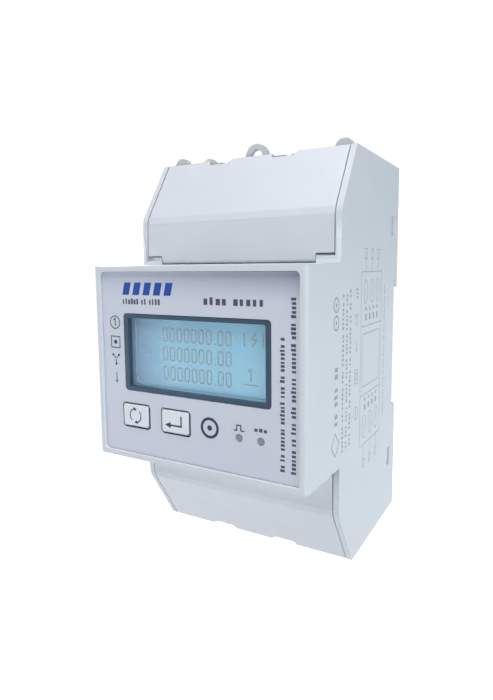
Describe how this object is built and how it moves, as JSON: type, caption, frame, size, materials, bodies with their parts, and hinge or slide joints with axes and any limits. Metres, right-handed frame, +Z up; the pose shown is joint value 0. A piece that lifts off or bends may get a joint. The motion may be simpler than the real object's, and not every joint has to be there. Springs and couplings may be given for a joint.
{
  "type": "three-phase rail-mounted energy meter",
  "caption": "Slim rail-mounted electricity meter with a raised display block, press keys, hinged terminal covers, rising-cage terminals and a sprung rail clip.",
  "frame": {"origin": "middle of the flat seat that rests on the front of a 35 mm top-hat rail, on the rail's middle line", "axes": "+X to the right seen from the front, +Y from the front face towards the rail, +Z up the case"},
  "size_m": [0.054, 0.065, 0.104],
  "materials": {
    "housing_white": "fine satin moulding",
    "cover_white": "smooth satin moulding",
    "base_white": "matt moulding",
    "terminal_white": "matt moulding",
    "faceplate_lavender": "printed film",
    "frame_slate": "gloss",
    "window_clear": "clear gloss",
    "display_glass": "polished glass with dark segments",
    "diffuser_white": "milky",
    "key_lavender": "satin",
    "switch_black": "matt",
    "light_guide_grey": "translucent",
    "lamp_red": "translucent",
    "board_green": "solder mask",
    "chip_black": "matt",
    "contact_brass": "bright",
    "screw_steel": "zinc plated",
    "cage_steel": "zinc plated",
    "spring_steel": "bright wire",
    "phase_copper": "bare copper",
    "transformer_potting": "cast resin",
    "winding_tape": "tape over a ferrite core",
    "capacitor_sleeve": "shrink sleeve",
    "disc_blue": "dipped coating",
    "isolator_white": "matt",
    "strip_green": "matt",
    "strip_grey": "matt",
    "clip_grey": "matt"
  },
  "bodies": {
    "case": {"front_housing": "housing_white", "rear_base": "base_white", "upper_terminal_block": "terminal_white", "lower_terminal_block": "terminal_white", "faceplate": "faceplate_lavender", "lcd_frame": "frame_slate", "lcd_window": "window_clear", "lcd_panel": "display_glass", "backlight": "diffuser_white", "key_switches": "switch_black", "pulse_light_guide": "light_guide_grey", "link_light_guide": "light_guide_grey", "indicator_leds": "lamp_red", "display_board": "board_green", "display_board_screws": "screw_steel", "controller_chip": "chip_black", "board_header": "switch_black", "header_pins": "contact_brass", "main_board": "board_green", "main_board_screws": "screw_steel", "supply_transformer": "winding_tape", "filter_capacitors": "capacitor_sleeve", "surge_discs": "disc_blue", "metering_chip": "chip_black", "opto_isolators": "isolator_white", "voltage_taps": "contact_brass", "phase_bar_1": "phase_copper", "phase_bar_2": "phase_copper", "phase_bar_3": "phase_copper", "current_transformer_1": "transformer_potting", "current_transformer_2": "transformer_potting", "current_transformer_3": "transformer_potting", "data_strip": "strip_green", "data_strip_screws": "screw_steel", "data_strip_contacts": "contact_brass", "neutral_strip": "strip_grey", "neutral_strip_screws": "screw_steel", "neutral_strip_contacts": "contact_brass", "clip_spring": "spring_steel"},
    "upper_cover": {"upper_cover": "cover_white"},
    "lower_cover": {"lower_cover": "cover_white"},
    "scroll_key": {"scroll_key": "key_lavender"},
    "enter_key": {"enter_key": "key_lavender"},
    "rail_clip": {"rail_clip": "clip_grey"},
    "upper_screw_1": {"upper_screw_1": "screw_steel"},
    "upper_cage_1": {"upper_cage_1": "cage_steel"},
    "upper_screw_2": {"upper_screw_2": "screw_steel"},
    "upper_cage_2": {"upper_cage_2": "cage_steel"},
    "upper_screw_3": {"upper_screw_3": "screw_steel"},
    "upper_cage_3": {"upper_cage_3": "cage_steel"},
    "lower_screw_1": {"lower_screw_1": "screw_steel"},
    "lower_cage_1": {"lower_cage_1": "cage_steel"},
    "lower_screw_2": {"lower_screw_2": "screw_steel"},
    "lower_cage_2": {"lower_cage_2": "cage_steel"},
    "lower_screw_3": {"lower_screw_3": "screw_steel"},
    "lower_cage_3": {"lower_cage_3": "cage_steel"}
  },
  "joints": [
    {"name": "upper_cover_hinge", "type": "hinge", "parent": "case", "child": "upper_cover", "pos_m": [0, -0.04305, 0.0237], "axis": [1, 0, 0], "range_deg": [0, 85]},
    {"name": "lower_cover_hinge", "type": "hinge", "parent": "case", "child": "lower_cover", "pos_m": [0, -0.04305, -0.0237], "axis": [-1, 0, 0], "range_deg": [0, 85]},
    {"name": "scroll_key_press", "type": "slide", "parent": "case", "child": "scroll_key", "axis": [0, 1, 0], "range_m": [0, 0.0005], "stiffness_N_per_m": 800, "springref_m": -0.0012},
    {"name": "enter_key_press", "type": "slide", "parent": "case", "child": "enter_key", "axis": [0, 1, 0], "range_m": [0, 0.0005], "stiffness_N_per_m": 800, "springref_m": -0.0012},
    {"name": "rail_clip_slide", "type": "slide", "parent": "case", "child": "rail_clip", "axis": [0, 0, -1], "range_m": [0, 0.0045], "stiffness_N_per_m": 1500, "springref_m": -0.003, "deforming": ["clip_spring"]},
    {"name": "upper_screw_1_turn", "type": "hinge", "parent": "case", "child": "upper_screw_1", "pos_m": [-0.018, -0.0305, 0.04], "axis": [0, 1, 0], "range_deg": [0, 2521]},
    {"name": "upper_cage_1_lift", "type": "slide", "parent": "case", "child": "upper_cage_1", "axis": [0, -1, 0], "range_m": [0, 0.007]},
    {"name": "upper_screw_2_turn", "type": "hinge", "parent": "case", "child": "upper_screw_2", "pos_m": [0, -0.0305, 0.04], "axis": [0, 1, 0], "range_deg": [0, 2521]},
    {"name": "upper_cage_2_lift", "type": "slide", "parent": "case", "child": "upper_cage_2", "axis": [0, -1, 0], "range_m": [0, 0.007]},
    {"name": "upper_screw_3_turn", "type": "hinge", "parent": "case", "child": "upper_screw_3", "pos_m": [0.018, -0.0305, 0.04], "axis": [0, 1, 0], "range_deg": [0, 2521]},
    {"name": "upper_cage_3_lift", "type": "slide", "parent": "case", "child": "upper_cage_3", "axis": [0, -1, 0], "range_m": [0, 0.007]},
    {"name": "lower_screw_1_turn", "type": "hinge", "parent": "case", "child": "lower_screw_1", "pos_m": [-0.018, -0.0305, -0.04], "axis": [0, 1, 0], "range_deg": [0, 2521]},
    {"name": "lower_cage_1_lift", "type": "slide", "parent": "case", "child": "lower_cage_1", "axis": [0, -1, 0], "range_m": [0, 0.007]},
    {"name": "lower_screw_2_turn", "type": "hinge", "parent": "case", "child": "lower_screw_2", "pos_m": [0, -0.0305, -0.04], "axis": [0, 1, 0], "range_deg": [0, 2521]},
    {"name": "lower_cage_2_lift", "type": "slide", "parent": "case", "child": "lower_cage_2", "axis": [0, -1, 0], "range_m": [0, 0.007]},
    {"name": "lower_screw_3_turn", "type": "hinge", "parent": "case", "child": "lower_screw_3", "pos_m": [0.018, -0.0305, -0.04], "axis": [0, 1, 0], "range_deg": [0, 2521]},
    {"name": "lower_cage_3_lift", "type": "slide", "parent": "case", "child": "lower_cage_3", "axis": [0, -1, 0], "range_m": [0, 0.007]}
  ],
  "couplings": [
    {"joint": "upper_screw_1_turn", "follows": "upper_cage_1_lift", "rad_per_m": 6283.2},
    {"joint": "upper_screw_2_turn", "follows": "upper_cage_2_lift", "rad_per_m": 6283.2},
    {"joint": "upper_screw_3_turn", "follows": "upper_cage_3_lift", "rad_per_m": 6283.2},
    {"joint": "lower_screw_1_turn", "follows": "lower_cage_1_lift", "rad_per_m": 6283.2},
    {"joint": "lower_screw_2_turn", "follows": "lower_cage_2_lift", "rad_per_m": 6283.2},
    {"joint": "lower_screw_3_turn", "follows": "lower_cage_3_lift", "rad_per_m": 6283.2}
  ]
}
